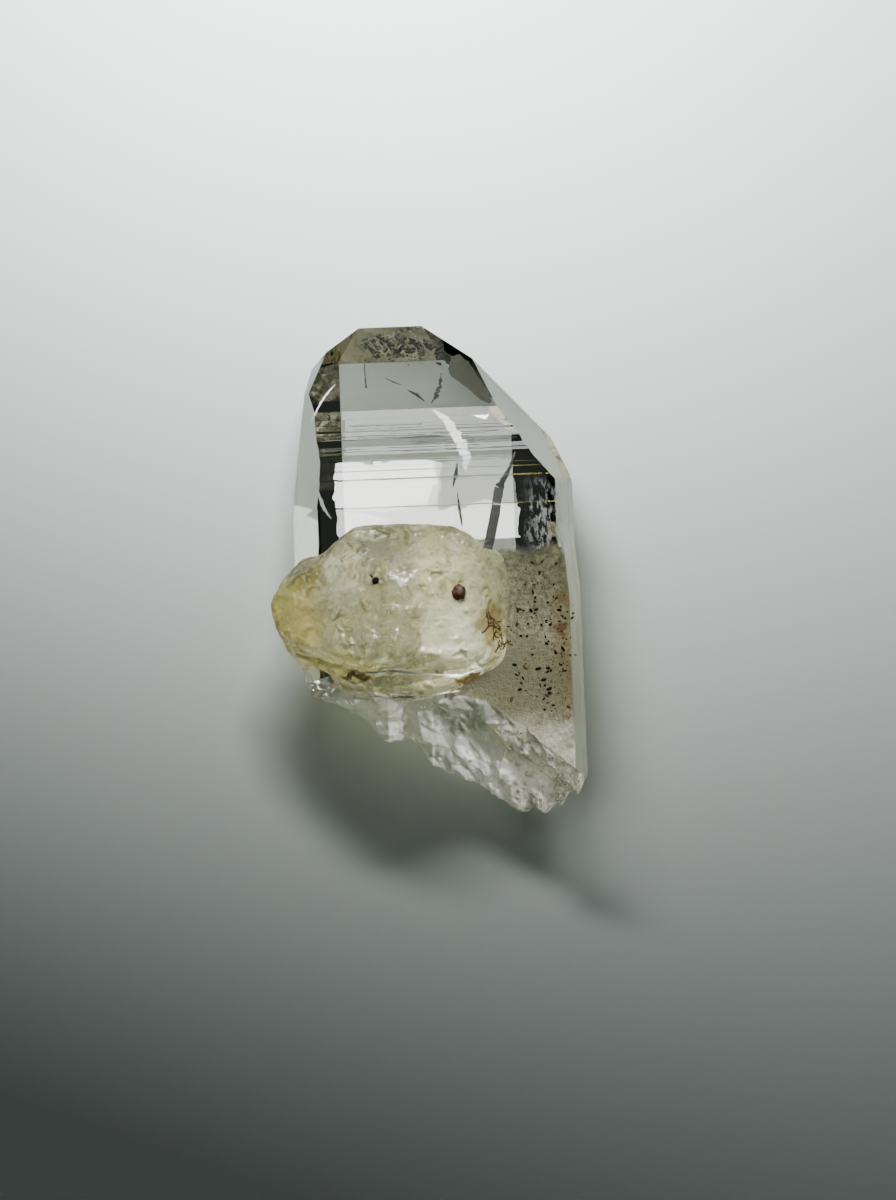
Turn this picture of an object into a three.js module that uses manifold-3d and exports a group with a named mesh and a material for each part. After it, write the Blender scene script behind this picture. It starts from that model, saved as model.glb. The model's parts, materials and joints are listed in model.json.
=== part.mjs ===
// A clear quartz point with a smaller, rounded quartz crystal grown across its front, broken off below.
// It is one stone, so it is one solid. It lies on its flat back face.
// Millimetres. +Y runs along the crystal towards its point, +X to the right, +Z up, away from the surface
// that it lies on. The origin is on that surface, under the middle of the stone's outline.

import * as THREE from 'three';
import { mergeVertices } from 'three/addons/utils/BufferGeometryUtils.js';
import Module from 'manifold-3d';

const wasm = await Module();
wasm.setup();

// Driving dimensions, from the 34 x 19 x 13 mm that the stone measures.
const LENGTH = 34; // point to the lowest corner of the broken end
const PRISM_DEPTH = 9.2; // back face to front face of the big crystal
const FRONT_DROP = 0.5; // the lower half of the front is this much lower
const FULL_HEIGHT = 13; // back face to the crest of the small crystal
const LEFT_EDGE = { x: -9.15, z: 6.1 }; // the two long side edges, 19.3 mm apart
const RIGHT_EDGE = { x: 10.5, z: 7.0 };
const RIGHT_LEDGE = 0.3; // the upper half of the right side is this much narrower

const TIP_Y = LENGTH / 2;
const RIDGE_Z = 2.9; // height of the short ridge that ends the point
const RIDGE_LEFT = new THREE.Vector3(-4.15, TIP_Y, RIDGE_Z);
const RIDGE_RIGHT = new THREE.Vector3(0.2, TIP_Y, RIDGE_Z);
const LEFT_SHOULDER = new THREE.Vector3(-6.37, 15.55, 4.03);
const RIGHT_SHOULDER = new THREE.Vector3(3.7, 14.45, 4.9);

// Quartz grows with fixed angles: six prism faces 60 degrees apart round the long axis, and six pointed
// faces whose normals stand 51.79 degrees from that axis.
const PRISM_LEAN = 90;
const POINT_LEAN = 51.79;

const BLOCK = 60; // side of the blocks that cutting starts from, larger than the stone

// A closed geometry as a solid that can be joined and cut.
function solidFrom(geometry) {
  const bare = geometry.clone();
  for (const name of ['normal', 'uv']) bare.deleteAttribute(name);
  const merged = mergeVertices(bare, 1e-4);
  return new wasm.Manifold(new wasm.Mesh({
    numProp: 3,
    vertProperties: new Float32Array(merged.attributes.position.array),
    triVerts: new Uint32Array(merged.index.array),
  }));
}

// A solid as a geometry with flat facets.
function geometryFrom(solid) {
  const mesh = solid.getMesh();
  const positions = new Float32Array(mesh.numVert * 3);
  for (let i = 0; i < mesh.numVert; i++) {
    const at = i * mesh.numProp;
    positions.set(mesh.vertProperties.subarray(at, at + 3), i * 3);
  }
  const geometry = new THREE.BufferGeometry();
  geometry.setAttribute('position', new THREE.BufferAttribute(positions, 3));
  geometry.setIndex(new THREE.BufferAttribute(mesh.triVerts, 1));
  const faceted = geometry.toNonIndexed();
  faceted.computeVertexNormals();
  return faceted;
}

// The outward direction of a crystal face. turn goes round the long axis from the front, towards the right,
// and lean is the angle between the direction and the long axis, both in degrees.
function faceNormal(turn, lean) {
  const t = THREE.MathUtils.degToRad(turn);
  const l = THREE.MathUtils.degToRad(lean);
  return new THREE.Vector3(Math.sin(t) * Math.sin(l), Math.cos(l), Math.cos(t) * Math.sin(l));
}

// A block that covers everything outside one face.
function outsideOf(normal, through) {
  const block = new THREE.BoxGeometry(2 * BLOCK, 2 * BLOCK, BLOCK);
  block.translate(0, 0, BLOCK / 2);
  block.applyQuaternion(new THREE.Quaternion().setFromUnitVectors(new THREE.Vector3(0, 0, 1), normal));
  block.translate(through.x, through.y, through.z);
  return solidFrom(block);
}

// The big crystal's faces, each through a point that it passes. The front is cut later, in ledges.
const leftEdge = new THREE.Vector3(LEFT_EDGE.x, 0, LEFT_EDGE.z);
const rightEdge = new THREE.Vector3(RIGHT_EDGE.x, 0, RIGHT_EDGE.z);
const crystalFaces = [
  { turn: 180, lean: PRISM_LEAN, through: new THREE.Vector3(0, 0, 0) },
  { turn: 60, lean: PRISM_LEAN, through: rightEdge },
  { turn: 120, lean: PRISM_LEAN, through: rightEdge },
  { turn: -60, lean: PRISM_LEAN, through: leftEdge },
  { turn: -120, lean: PRISM_LEAN, through: leftEdge },
  { turn: 180, lean: POINT_LEAN, through: RIDGE_LEFT },
  { turn: 120, lean: POINT_LEAN, through: RIDGE_RIGHT },
  { turn: -120, lean: POINT_LEAN, through: RIDGE_LEFT },
  { turn: 60, lean: POINT_LEAN, through: RIGHT_SHOULDER },
  { turn: -60, lean: POINT_LEAN, through: LEFT_SHOULDER },
  { turn: -61.7, lean: 83.1, through: new THREE.Vector3(-7.37, 11.15, 7.5) }, // the left side tapers upwards
  { turn: -100, lean: 82, through: new THREE.Vector3(-8.38, 10.08, 5.9) }, // steep face up the left edge
  { turn: 81, lean: 70.7, through: new THREE.Vector3(9.9, 6.98, 6) }, // steep face on the right edge
];

// Ledges, where growth stopped short: the quartz that is outside both faces is missing.
const ledges = [
  [ // down the left shoulder
    { turn: -27, lean: 44.4, through: new THREE.Vector3(-5.69, 13.57, 5.58) },
    { turn: 20, lean: 150, through: new THREE.Vector3(-6.6, 14.5, 5.2) },
  ],
  [ // up the front of the right side
    { turn: 60, lean: PRISM_LEAN, through: new THREE.Vector3(RIGHT_EDGE.x - RIGHT_LEDGE, 0, RIGHT_EDGE.z) },
    { turn: 60, lean: 86, through: new THREE.Vector3(RIGHT_EDGE.x - RIGHT_LEDGE, 1.7, RIGHT_EDGE.z) },
  ],
  [ // and up the back of it
    { turn: 120, lean: PRISM_LEAN, through: new THREE.Vector3(RIGHT_EDGE.x - RIGHT_LEDGE, 0, RIGHT_EDGE.z) },
    { turn: 120, lean: 86, through: new THREE.Vector3(RIGHT_EDGE.x - RIGHT_LEDGE, 1.7, RIGHT_EDGE.z) },
  ],
];

function crystalBody() {
  let body = solidFrom(new THREE.BoxGeometry(BLOCK, BLOCK, BLOCK));
  for (const { turn, lean, through } of crystalFaces) {
    body = body.subtract(outsideOf(faceNormal(turn, lean), through));
  }
  for (const [a, b] of ledges) {
    const beyondA = outsideOf(faceNormal(a.turn, a.lean), a.through);
    body = body.subtract(beyondA.intersect(outsideOf(faceNormal(b.turn, b.lean), b.through)));
  }
  return body;
}

// The front in side view, from the point downwards. Growth lines are low ledges across it: at each one the
// surface climbs as steeply as a face of the point, and between them it climbs as a gentle terrace.
const POINT_SLOPE = 1 / Math.tan(THREE.MathUtils.degToRad(POINT_LEAN));
const FRONT_FOOT_Y = 11.16; // where the front face of the point ends
const growthLines = [
  { y: 9.78, rise: 0.1, terrace: 13 },
  { y: 9.12, rise: 0.36, terrace: 13 },
  { y: 8.22, rise: 0.14, terrace: 13 },
  { y: 7.7, rise: 0.06, terrace: 6 },
  { y: 7.0, rise: 0.06, terrace: 4 },
  { y: 6.42, rise: 0.09, terrace: 3 },
  { y: 4.47, rise: 0.06, terrace: 3 },
];

function frontProfile() {
  const outline = new THREE.Shape();
  outline.moveTo(-BLOCK, -BLOCK);
  outline.lineTo(BLOCK, -BLOCK);
  outline.lineTo(BLOCK, RIDGE_Z + (RIDGE_LEFT.y - BLOCK) * POINT_SLOPE);
  let y = FRONT_FOOT_Y;
  let z = RIDGE_Z + (RIDGE_LEFT.y - y) * POINT_SLOPE;
  outline.lineTo(y, z);
  for (const line of growthLines) {
    z += (y - line.y) * Math.tan(THREE.MathUtils.degToRad(line.terrace));
    outline.lineTo(line.y, z);
    y = line.y - line.rise / POINT_SLOPE;
    z += line.rise;
    outline.lineTo(y, z);
  }
  y -= (PRISM_DEPTH - z) / Math.tan(THREE.MathUtils.degToRad(3));
  outline.lineTo(y, PRISM_DEPTH);
  outline.lineTo(2, PRISM_DEPTH);
  outline.lineTo(-0.5, PRISM_DEPTH - FRONT_DROP);
  outline.lineTo(-BLOCK, PRISM_DEPTH - FRONT_DROP);
  const bar = new THREE.ExtrudeGeometry(outline, { depth: BLOCK, bevelEnabled: false });
  bar.translate(0, 0, -BLOCK / 2);
  // The outline's own x is the stone's y, and its y is the stone's z.
  bar.applyMatrix4(new THREE.Matrix4().makeBasis(
    new THREE.Vector3(0, 1, 0), new THREE.Vector3(0, 0, 1), new THREE.Vector3(1, 0, 0)));
  return solidFrom(bar);
}

// A value read off a line of [place, value] points.
function along(points, place) {
  if (place <= points[0][0]) return points[0][1];
  for (let i = 1; i < points.length; i++) {
    const [b, vb] = points[i];
    if (place > b) continue;
    const [a, va] = points[i - 1];
    return va + (vb - va) * (place - a) / (b - a);
  }
  return points[points.length - 1][1];
}

// The broken lower end. RIM is its outline seen from above, and RIM_HEIGHT how high that edge stands.
const RIM = [
  [-9.3, -4.6], [-8.95, -6.24], [-8.69, -7.47], [-8.25, -8.43], [-6.0, -9.37], [-4.58, -10.15],
  [-3.91, -11.26], [-3.1, -11.89], [-1.76, -11.63], [-1.29, -11.96], [-0.15, -13.45], [1.5, -14.47],
  [2.69, -14.88], [5.14, -16.61], [5.97, -TIP_Y], [8.15, -16.78], [9.88, -15.63], [10.56, -14.47],
];
const RIM_HEIGHT = [[-9.2, 6.1], [-6, 3.8], [0, 2.7], [6, 2.4], [8.15, 3.3], [9.9, 6.1], [10.5, 7]];
const LEAN_ABOVE = [[-9, 0.55], [-4, 0.5], [0, 0.8], [6, 0.95], [10, 0.5]]; // mm in for each mm up
const LEAN_BELOW = [[-9, 0.9], [0, 1.1], [6, 0.8], [10, 0.5]]; // mm in for each mm down
// Shell-shaped hollows that the blow left: middle, half width, half height and depth.
const hollows = [
  { x: 2.0, z: 6.4, wide: 3.4, tall: 2.7, deep: 1.2 },
  { x: 1.1, z: 4.0, wide: 2.3, tall: 1.4, deep: 0.55 },
  { x: 6.9, z: 5.6, wide: 2.9, tall: 2.2, deep: 0.9 },
  { x: 5.3, z: 3.4, wide: 2.0, tall: 1.1, deep: 0.4 },
  { x: 8.8, z: 7.9, wide: 1.7, tall: 1.5, deep: 0.6 },
  { x: -3.2, z: 5.6, wide: 2.6, tall: 2.1, deep: 0.7 },
  { x: -6.6, z: 6.3, wide: 2.1, tall: 1.5, deep: 0.5 },
  { x: -0.4, z: 0.9, wide: 3.8, tall: 1.7, deep: 0.8 },
  { x: 4.8, z: 0.8, wide: 2.8, tall: 1.3, deep: 0.5 },
];

// How far down the axis the quartz reaches at a place across the section.
function breakY(x, z) {
  const rise = z - along(RIM_HEIGHT, x);
  const lean = along(rise > 0 ? LEAN_ABOVE : LEAN_BELOW, x) * (Math.hypot(rise, 0.4) - 0.4);
  let bite = 0;
  for (const h of hollows) {
    bite = Math.max(bite, h.deep * (1 - ((x - h.x) / h.wide) ** 2 - ((z - h.z) / h.tall) ** 2));
  }
  return along(RIM, x) + lean + bite;
}

// A block below a surface y = height(x, z), made as a grid with a flat far side. The grid's rows follow the rim.
function blockBelow(height, { left, right, low, high, step, bottom }) {
  const columns = Math.round((right - left) / step);
  const rows = Math.round((high - low) / step);
  const plane = new THREE.BoxGeometry(right - left, 1, high - low, columns, 1, rows);
  const p = plane.attributes.position;
  for (let i = 0; i < p.count; i++) {
    const x = p.getX(i) + (left + right) / 2;
    const z = p.getZ(i) + (low + high) / 2 + along(RIM_HEIGHT, x);
    p.setXYZ(i, x, p.getY(i) > 0 ? height(x, z) : bottom, z);
  }
  return solidFrom(plane);
}

// A crystal with worn edges: near its middle it is bounded by flat faces, and where two of them meet it
// turns smoothly. WEAR is lower for rounder edges.
const WEAR = 24;

function wornCrystal({ middle, faces, detail, ripple }) {
  const ball = new THREE.IcosahedronGeometry(1, detail);
  const reaches = faces.map(({ normal, through }) => {
    const n = new THREE.Vector3(...normal).normalize();
    return { n, reach: n.dot(new THREE.Vector3(...through).sub(middle)) };
  });
  const p = ball.attributes.position;
  const ray = new THREE.Vector3();
  for (let i = 0; i < p.count; i++) {
    ray.fromBufferAttribute(p, i).normalize();
    let sum = 0;
    for (const { n, reach } of reaches) sum += Math.max(0, n.dot(ray) / reach) ** WEAR;
    const radius = sum ** (-1 / WEAR);
    const q = ray.clone().multiplyScalar(radius);
    const wave = Math.sin(1.9 * q.x + 1.3 * q.y) * Math.cos(1.7 * q.y - 1.1 * q.z)
      + 0.5 * Math.sin(3.7 * q.x - 2.9 * q.y + 1.3);
    q.addScaledVector(ray, ripple * wave).add(middle);
    p.setXYZ(i, q.x, q.y, q.z);
  }
  return solidFrom(ball);
}

// The small crystal lies across the big one and points to the left. Its crest is the stone's highest place.
const CREST = [-2.2, -2.6, FULL_HEIGHT + 0.07];
const smallCrystal = {
  middle: new THREE.Vector3(-3, -2.8, 8.2),
  detail: 15,
  ripple: 0.08,
  faces: [
    { normal: [-0.47, 0.06, 0.88], through: CREST },
    { normal: [0.36, -0.04, 0.93], through: CREST },
    { normal: [0.02, 0.72, 0.69], through: [-1.2, 3.15, 9.2] },
    { normal: [-0.6, 0.75, 0.25], through: [-7.47, 1.31, 8.9] },
    { normal: [-0.85, 0.35, 0.39], through: [-10.45, -0.9, 8.3] },
    { normal: [-0.84, -0.42, 0.34], through: [-10.1, -4.9, 7.6] },
    { normal: [-0.42, -0.8, 0.43], through: [-6.6, -6.7, 8.6] },
    { normal: [0.03, -0.87, 0.49], through: [-1, -7.3, 9.8] },
    { normal: [0.35, -0.8, 0.48], through: [2.6, -7.2, 9.4] },
    { normal: [0.8, -0.05, 0.6], through: [4.9, -2.5, 9.3] },
    { normal: [0.45, 0.62, 0.64], through: [3.5, 1.8, 9.3] },
    { normal: [-0.6, 0, -0.8], through: [-10.3, -2.5, 7.2] },
    { normal: [-0.3, -0.7, -0.65], through: [-6.5, -6.5, 6.4] },
    { normal: [0.1, 0.7, -0.7], through: [-2, 2, 6] },
    { normal: [0.7, 0, -0.7], through: [3.5, -3, 6] },
    { normal: [0, 0, -1], through: [-3, -3, 4] },
  ],
};

// A low shelf of the same growth that shows below the small crystal's lower edge.
const shelf = {
  middle: new THREE.Vector3(-3, -4.2, 7.6),
  detail: 11,
  ripple: 0.07,
  faces: [
    { normal: [0, -0.1, 1], through: [-3, -7, 10.1] },
    { normal: [-0.4, -0.1, 0.9], through: [-6, -6, 9.9] },
    { normal: [-0.86, -0.1, 0.3], through: [-9.6, -4.5, 8] },
    { normal: [-0.5, -0.8, 0.3], through: [-8.7, -6.1, 8] },
    { normal: [-0.2, -0.93, 0.3], through: [-5.4, -8, 8.4] },
    { normal: [0.12, -0.93, 0.35], through: [-0.6, -8.75, 8.6] },
    { normal: [0.5, -0.8, 0.3], through: [2.4, -7.9, 8.8] },
    { normal: [0.9, 0.1, 0.3], through: [4.4, -4, 8.8] },
    { normal: [0, 1, 0.2], through: [-3, -1.5, 8] },
    { normal: [-0.7, 0.7, 0.4], through: [-8.4, -3.2, 8] },
    { normal: [0, 0, -1], through: [-3, -4, 4.6] },
    { normal: [-0.7, -0.1, -0.7], through: [-8.6, -4.5, 6] },
    { normal: [0, -0.75, -0.66], through: [-2, -8, 6.4] },
    { normal: [0.7, 0, -0.7], through: [3, -4, 6] },
  ],
};

// Small knocks on the big crystal's edges, each the bite of a ball.
const knocks = [
  { at: [-6.65, 14.35, 5.9], radius: 0.75 },
  { at: [-8.95, 9, 6.2], radius: 0.42 },
  { at: [0.3, 17.2, 3.4], radius: 0.55 },
];

function knock({ at, radius }) {
  const ball = new THREE.IcosahedronGeometry(radius, 5);
  ball.translate(...at);
  return solidFrom(ball);
}

function quartzPoint() {
  let stone = crystalBody().intersect(frontProfile());
  for (const each of knocks) stone = stone.subtract(knock(each));
  const broken = blockBelow(breakY, { left: -12, right: 12, low: -8, high: 8, step: 0.5, bottom: -BLOCK / 2 });
  stone = stone.subtract(broken);
  stone = stone.add(wornCrystal(smallCrystal)).add(wornCrystal(shelf));
  const { min, max } = stone.boundingBox();
  stone = stone.translate([-(min[0] + max[0]) / 2, -(min[1] + max[1]) / 2, -min[2]]);
  const quartz = new THREE.MeshStandardMaterial({
    color: 0xdfe0d2,
    roughness: 0.1,
    metalness: 0,
    transparent: true,
    opacity: 0.6,
  });
  const mesh = new THREE.Mesh(geometryFrom(stone), quartz);
  mesh.name = 'quartz_point';
  return mesh;
}

const part = new THREE.Group();
part.add(quartzPoint());

export default part;
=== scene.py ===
# %% [markdown]
# # A quartz point with a second crystal across it
#
# The object is one stone: a clear quartz prism, 34 mm long, that ends in a short point, with a smaller
# yellowish crystal grown across its front. The bottom is broken off. Clear stone is the hard part: what the
# eye sees in it is mostly what lies behind it, bent and mirrored by its flat faces. So this lesson builds
# the faces at quartz's own angles and lets the light do the rest. It works in millimetres, and turns to
# metres only when a mesh is made.

import json
import math
import random

import bmesh
import bpy
from mathutils import Euler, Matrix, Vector, noise
from mathutils.bvhtree import BVHTree

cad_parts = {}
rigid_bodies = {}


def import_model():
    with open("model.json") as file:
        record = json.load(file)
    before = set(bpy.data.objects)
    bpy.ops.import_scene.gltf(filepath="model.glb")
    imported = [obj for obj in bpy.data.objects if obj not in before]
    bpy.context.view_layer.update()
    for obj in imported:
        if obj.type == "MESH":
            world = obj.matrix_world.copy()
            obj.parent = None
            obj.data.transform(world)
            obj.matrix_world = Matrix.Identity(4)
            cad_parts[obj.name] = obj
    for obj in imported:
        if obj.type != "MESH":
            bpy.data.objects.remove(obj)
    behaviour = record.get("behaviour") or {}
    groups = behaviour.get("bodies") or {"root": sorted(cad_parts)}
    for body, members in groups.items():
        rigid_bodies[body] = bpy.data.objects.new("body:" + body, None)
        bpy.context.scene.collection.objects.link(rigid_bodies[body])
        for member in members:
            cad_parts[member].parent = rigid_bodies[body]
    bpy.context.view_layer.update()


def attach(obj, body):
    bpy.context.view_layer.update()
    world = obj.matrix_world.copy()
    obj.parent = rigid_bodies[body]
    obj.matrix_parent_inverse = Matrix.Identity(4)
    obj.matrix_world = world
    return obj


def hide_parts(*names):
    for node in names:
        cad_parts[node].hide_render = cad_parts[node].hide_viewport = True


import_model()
MM = 0.001

# %% [markdown]
# ## The camera
#
# The photograph looks straight down on the stone, which lies on its back. A long lens from 0.6 m up keeps
# the perspective as weak as it is there. The stone leans 2.2 degrees to the left in the picture, so the
# camera is rolled by that much and the stone stays square to its own axes.

# %% Camera
PICTURE_HEIGHT = 83.2  # mm that the picture's height covers at the stone
CAMERA_UP = 600  # mm above the middle of the crystal, which is 4 mm up
CAMERA_AT = (1.5, -2.1, CAMERA_UP + 4)
camera_data = bpy.data.cameras.new("camera")
camera_data.sensor_width = 36
camera_data.lens = 36 * CAMERA_UP / PICTURE_HEIGHT
camera_data.clip_start = 0.01
camera = bpy.data.objects.new("camera", camera_data)
camera.location = Vector(CAMERA_AT) * MM
camera.rotation_euler = Euler((0, 0, math.radians(-2.2)))
bpy.context.collection.objects.link(camera)
bpy.context.scene.camera = camera
print("lens", round(camera_data.lens, 1), "mm")

# %% [markdown]
# ## Cutting a crystal from planes
#
# A crystal is a block bounded by flat faces, so it can be cut the way a lapidary cuts a stone: start from a
# block and saw off everything outside each face. `bisect_plane` makes the cut and `contextual_create`
# closes it, which leaves perfectly flat facets with sharp edges. Subdivision would round them. Quartz's six
# prism faces stand 60 degrees apart round the long axis, and the normals of its pointed faces lean 51.79
# degrees from that axis.

# %% Helpers for cut blocks
ORIGIN = Vector((0.17, 0, 0))  # from the drawing's zero to the middle of the stone's outline
FAR = 40  # mm, well outside the stone
FLAT_LEAN = 90  # degrees from the long axis to the outward direction of a prism face
POINT_LEAN = 51.79  # and to that of a face of the point


def face_normal(turn, lean):
    """Outward direction of a face. Turn goes round the long axis from the front to the right, and lean is the
    angle from the long axis."""
    t, a = math.radians(turn), math.radians(lean)
    return Vector((math.sin(t) * math.sin(a), math.cos(a), math.cos(t) * math.sin(a)))


def cut(bm, through, normal):
    """Saw off what lies outside the plane, and close the cut."""
    everything = bm.verts[:] + bm.edges[:] + bm.faces[:]
    sawn = bmesh.ops.bisect_plane(
        bm, geom=everything, dist=1e-6, plane_co=through, plane_no=normal, clear_outer=True)
    rim = [e for e in sawn["geom_cut"] if isinstance(e, bmesh.types.BMEdge)]
    if rim:
        bmesh.ops.contextual_create(bm, geom=rim)


def as_object(name, bm):
    """Makes the finished mesh an object of the scene."""
    bmesh.ops.recalc_face_normals(bm, faces=bm.faces)
    mesh = bpy.data.meshes.new(name)
    bm.to_mesh(mesh)
    bm.free()
    piece = bpy.data.objects.new(name, mesh)
    bpy.context.collection.objects.link(piece)
    return piece


def cut_block(name, planes, half=30):
    """A block with each (turn, lean, point) plane sawn off."""
    bm = bmesh.new()
    bmesh.ops.create_cube(bm, size=2 * half)
    for turn, lean, through in planes:
        cut(bm, Vector(through), face_normal(turn, lean))
    return as_object(name, bm)


print("a face of the point looks along", [round(part, 2) for part in face_normal(0, POINT_LEAN)])

# %% [markdown]
# ## Joining closed meshes
#
# The rest of the stone is made of closed meshes that are joined to the block or cut out of it. A boolean
# modifier does that. It is applied at once, because the next step needs the finished mesh.

# %% Helper for joining and cutting


def combine(target, other, operation):
    """Join or cut two closed meshes for good, and drop the second."""
    modifier = target.modifiers.new(operation.lower(), "BOOLEAN")
    modifier.operation = operation
    modifier.solver = "MANIFOLD"
    modifier.object = other
    bpy.context.view_layer.update()
    graph = bpy.context.evaluated_depsgraph_get()
    result = bpy.data.meshes.new_from_object(target.evaluated_get(graph))
    target.modifiers.clear()
    target.data = result
    bpy.data.objects.remove(other)


# %% [markdown]
# ## The big crystal
#
# Its two long side edges stand 19.3 mm apart. The point is not a sharp one: it ends in a short ridge, as on
# many real crystals whose front and back faces grew larger than the others. Where a face stopped growing
# part of the way, it left a ledge: there the stone is missing only where two faces would both cut it.

# %% Faces of the big crystal
left_edge, right_edge = (-9.15, 0, 6.1), (10.5, 0, 7)
RIDGE_Y, RIDGE_Z = 17, 2.9
ridge_left, ridge_right = (-4.15, RIDGE_Y, RIDGE_Z), (0.2, RIDGE_Y, RIDGE_Z)

faces = [  # turn, lean, and a point on the face
    (180, FLAT_LEAN, (0, 0, 0)),
    (60, FLAT_LEAN, right_edge), (120, FLAT_LEAN, right_edge),
    (-60, FLAT_LEAN, left_edge), (-120, FLAT_LEAN, left_edge),
    (180, POINT_LEAN, ridge_left), (121.68, POINT_LEAN, ridge_right), (-121.8, POINT_LEAN, ridge_left),
    (60, POINT_LEAN, (3.7, 14.45, 4.9)), (-60, POINT_LEAN, (-6.37, 15.55, 4.03)),
    (-61.7, 83.1, (-7.37, 11.15, 7.5)), (-100, 82, (-8.38, 10.08, 5.9)), (81, 70.7, (9.9, 6.98, 6)),
]
stone = cut_block("quartz_stone", faces)

ledges = [
    [(60, FLAT_LEAN, (10.2, 0, 7)), (60, 86, (10.2, 1.7, 7))],
    [(120, FLAT_LEAN, (10.2, 0, 7)), (120, 86, (10.2, 1.7, 7))],
]
for ledge in ledges:
    missing = [(turn + 180, 180 - lean, through) for turn, lean, through in ledge]
    combine(stone, cut_block("missing", missing, half=60), "DIFFERENCE")
print("big crystal:", len(stone.data.polygons), "faces")

# %% [markdown]
# ## Growth lines across the front
#
# Below the point the front face climbs to its full height in steps. Each step is a low ledge as steep as a
# face of the point, and between two of them runs a flatter terrace. A few are wide enough to measure in the
# photograph. Between those, real quartz has many finer ones. Some of them are added here, and the
# finest come later as grey hairs. The front's side view is drawn as one outline and pushed through the
# crystal as a bar. Three small knocks are balls that are cut out of its edges.

# %% Front of the big crystal
POINT_SLOPE = 1 / math.tan(math.radians(POINT_LEAN))
FIRST_LEDGE = 11.15  # mm along the crystal, where the end face of the point stops
DIP = 0.5  # mm that the front lies lower under the small crystal
growth_lines = [  # place along the crystal, height of the ledge, slope of the terrace above it in degrees
    (10.6, 0.02, 12), (10.2, 0.03, 15), (9.78, 0.1, 15), (9.5, 0.02, 13), (9.12, 0.38, 15), (8.35, 0.05, 13),
    (8.1, 0.14, 10), (7.88, 0.05, 6), (7.7, 0.07, 3), (7.3, 0.02, 0), (7.0, 0.05, 0), (6.42, 0.08, 0),
    (4.47, 0.06, 0),
]


def front_outline():
    """Points (y, z) of the front's side view, from the point down."""
    y, z = FIRST_LEDGE, RIDGE_Z + (RIDGE_Y - FIRST_LEDGE) * POINT_SLOPE
    points = [(FAR, RIDGE_Z - (FAR - RIDGE_Y) * POINT_SLOPE), (y, z)]
    for at, rise, terrace in growth_lines:
        z += (y - at) * math.tan(math.radians(terrace))
        points.append((at, z))
        y, z = at - rise / POINT_SLOPE, z + rise
        points.append((y, z))
    return points + [(2, z), (-0.5, z - DIP), (-FAR, z - DIP)]


def bar(name, outline, low):
    """A bar along X whose side view is the outline, closed below at z = low."""
    ring = outline + [(outline[-1][0], low), (outline[0][0], low)]
    bm = bmesh.new()
    ends = [[bm.verts.new((x, y, z)) for y, z in ring] for x in (-15, 15)]
    for end in ends:
        bm.faces.new(end)
    for i in range(len(ring)):
        j = (i + 1) % len(ring)
        bm.faces.new((ends[0][i], ends[0][j], ends[1][j], ends[1][i]))
    bmesh.ops.triangulate(bm, faces=[f for f in bm.faces if len(f.verts) > 4])
    return as_object(name, bm)


combine(stone, bar("front", front_outline(), low=-25), "INTERSECT")
knocks = [((-6.65, 14.35, 5.9), 0.75), ((-8.95, 9, 6.2), 0.42), ((0.3, 17.2, 3.4), 0.55)]
for centre, radius in knocks:  # small round chips along the edges
    bm = bmesh.new()
    bmesh.ops.create_icosphere(bm, subdivisions=4, radius=radius)
    bmesh.ops.translate(bm, verts=bm.verts, vec=centre)
    combine(stone, as_object("knock", bm), "DIFFERENCE")
print("with growth lines and", len(knocks), "knocks:", len(stone.data.polygons), "faces")

# %% [markdown]
# ## The broken end
#
# Quartz has no flat way to split. It breaks like thick glass, in shell-shaped hollows with fine ripples
# that spread from the blow. The broken end is a height field: for each place across the crystal, how far
# down the stone reaches. The hollows are shallow bowls that meet in sharp ridges, and each has its own
# ripples.

# %% Break surface
RIM = [  # x and y of the broken edge, as seen from above
    (-9.3, -4.6), (-8.95, -6.24), (-8.69, -7.47), (-8.25, -8.43), (-6.0, -9.37), (-4.58, -10.15),
    (-3.91, -11.26), (-3.1, -11.89), (-1.76, -11.63), (-1.29, -11.96), (-0.15, -13.45), (1.5, -14.47),
    (2.69, -14.88), (5.14, -16.61), (5.97, -17), (8.15, -16.78), (9.88, -15.63), (10.56, -14.47),
]
RIM_HEIGHT = [  # x and z of that edge
    (-9.2, 6.1), (-6, 3.8), (0, 2.7), (6, 2.4), (8.15, 3.3), (9.9, 6.1), (10.5, 7),
]
RIM_SOFT = 0.4  # mm over which that edge is rounded
RIPPLE = 0.06  # mm, height of the ripples in a hollow
# how far the break leans back in y for each mm above and below that edge, by x
LEAN_ABOVE = [(-9, 0.55), (-4, 0.5), (0, 0.8), (6, 0.95), (10, 0.5)]
LEAN_BELOW = [(-9, 0.9), (0, 1.1), (6, 0.8), (10, 0.5)]
hollows = [  # middle x and z, half width, half height, depth
    (3.4, 9.6, 3.6, 2.6, 1.5), (7.2, 9.2, 2.4, 2.0, 0.8), (-1.4, 8.2, 2.4, 1.9, 0.8),
    (5.9, 7.4, 1.8, 1.4, 0.5), (2.0, 6.4, 3.4, 2.7, 1.2), (1.1, 4.0, 2.3, 1.4, 0.55),
    (6.9, 5.6, 2.9, 2.2, 0.9), (5.3, 3.4, 2.0, 1.1, 0.4), (8.8, 7.9, 1.7, 1.5, 0.6),
    (-3.2, 5.6, 2.6, 2.1, 0.7), (-6.6, 6.3, 2.1, 1.5, 0.5), (-0.4, 0.9, 3.8, 1.7, 0.8),
    (4.8, 0.8, 2.8, 1.3, 0.5),
]


def along(points, place):
    """Reads a value off a line of (place, value) points."""
    for (a, va), (b, vb) in zip(points, points[1:]):
        if place <= b:
            return va + (vb - va) * max(0, place - a) / (b - a)
    return points[-1][1]


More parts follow.
